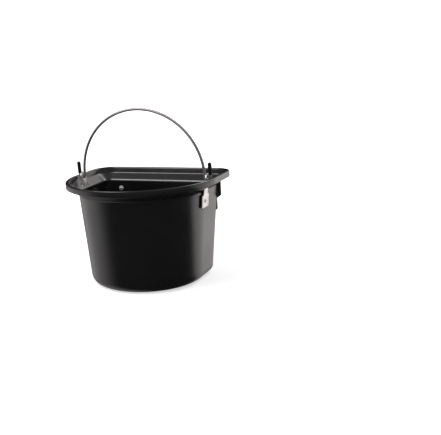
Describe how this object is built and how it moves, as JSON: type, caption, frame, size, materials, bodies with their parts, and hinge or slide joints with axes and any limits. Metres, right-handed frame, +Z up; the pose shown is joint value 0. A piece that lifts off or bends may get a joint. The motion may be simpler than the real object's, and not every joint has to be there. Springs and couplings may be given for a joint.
{
  "type": "feed bucket",
  "caption": "Black moulded feed bucket with a flat back, hook bars for a stable door or fence rail, and a swinging wire bail with capped ends",
  "frame": {"origin": "underside of the floor, below the centre of the round front", "axes": "+Z up, +Y towards the flat back and its hooks, +X to the right seen from the front"},
  "size_m": [0.4, 0.3819, 0.4441],
  "materials": {
    "moulding": "gloss",
    "hook_coat": "satin black",
    "galvanised": "bright galvanised",
    "caps": "matt",
    "rivets": "bare",
    "pins": "dull",
    "washers": "zinc plated"
  },
  "bodies": {
    "tub": {"bucket_shell": "moulding", "bail_ear_right": "galvanised", "bail_ear_left": "galvanised", "hook_bar_right": "hook_coat", "hook_bar_left": "hook_coat", "ear_right_rivet": "rivets", "ear_right_rivet_pin": "pins", "ear_right_washer": "washers", "ear_left_rivet": "rivets", "ear_left_rivet_pin": "pins", "ear_left_washer": "washers", "hook_right_upper_rivet": "rivets", "hook_right_upper_rivet_pin": "pins", "hook_right_upper_washer": "washers", "hook_right_lower_rivet": "rivets", "hook_right_lower_rivet_pin": "pins", "hook_right_lower_washer": "washers", "hook_left_upper_rivet": "rivets", "hook_left_upper_rivet_pin": "pins", "hook_left_upper_washer": "washers", "hook_left_lower_rivet": "rivets", "hook_left_lower_rivet_pin": "pins", "hook_left_lower_washer": "washers"},
    "bail_body": {"bail": "galvanised", "bail_cap_right": "caps", "bail_cap_left": "caps"}
  },
  "joints": [
    {"name": "bail_swing", "type": "hinge", "parent": "tub", "child": "bail_body", "pos_m": [0, -0.004, 0.264], "axis": [1, 0, 0], "range_deg": [-90, 70]}
  ]
}
